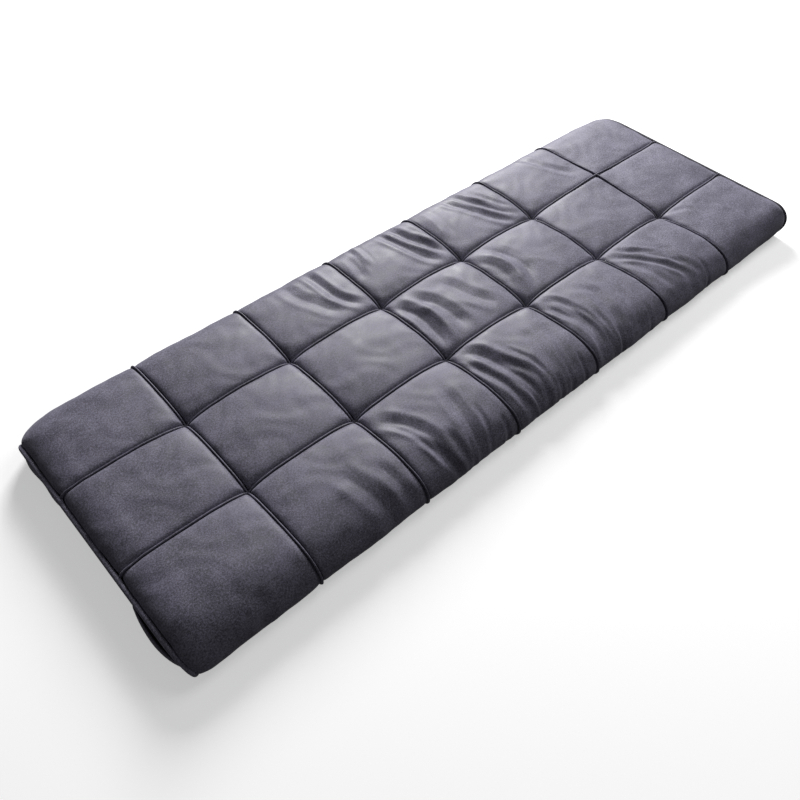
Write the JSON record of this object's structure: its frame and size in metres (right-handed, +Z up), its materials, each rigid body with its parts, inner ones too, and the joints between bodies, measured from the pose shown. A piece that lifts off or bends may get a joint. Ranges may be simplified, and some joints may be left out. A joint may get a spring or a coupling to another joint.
{
  "type": "futon mattress",
  "caption": "Long narrow tufted futon mattress pad in dark grey suede, with raised seams between puffed cells, piping round both ends and a lined flat underside.",
  "frame": {"origin": "centre of the flat underside, where the mattress rests", "axes": "+X along the mattress towards the far end, +Y across it towards the back long side, +Z up out of the tufted face"},
  "size_m": [1.896, 0.672, 0.088],
  "materials": {
    "suede": "matte",
    "suede_welt": "matte",
    "suede_piping": "matte",
    "filler_cord": "matte",
    "closure_tape": "matte",
    "lining": "matte",
    "batting": "matte",
    "foam": "matte",
    "twine": "matte",
    "felt": "matte"
  },
  "bodies": {
    "root": {"front_panel_1": "suede", "front_panel_2": "suede", "front_panel_3": "suede", "front_panel_4": "suede", "front_panel_5": "suede", "front_panel_6": "suede", "front_panel_7": "suede", "centre_panel_1": "suede", "centre_panel_2": "suede", "centre_panel_3": "suede", "centre_panel_4": "suede", "centre_panel_5": "suede", "centre_panel_6": "suede", "centre_panel_7": "suede", "back_panel_1": "suede", "back_panel_2": "suede", "back_panel_3": "suede", "back_panel_4": "suede", "back_panel_5": "suede", "back_panel_6": "suede", "back_panel_7": "suede", "cross_seam_welt_1": "suede_welt", "cross_seam_welt_2": "suede_welt", "cross_seam_welt_3": "suede_welt", "cross_seam_welt_4": "suede_welt", "cross_seam_welt_5": "suede_welt", "cross_seam_welt_6": "suede_welt", "front_seam_welt": "suede_welt", "back_seam_welt": "suede_welt", "near_end_panel": "suede", "far_end_panel": "suede", "near_end_piping": "suede_piping", "far_end_piping": "suede_piping", "near_piping_cord": "filler_cord", "far_piping_cord": "filler_cord", "closure_facing": "suede_welt", "closure_hook_tape": "closure_tape", "closure_loop_tape": "closure_tape", "underside_lining": "lining", "under_batting": "batting", "foam_core": "foam", "top_batting": "batting", "tuft_twine": "twine", "tuft_anchor_discs": "felt"}
  },
  "joints": []
}
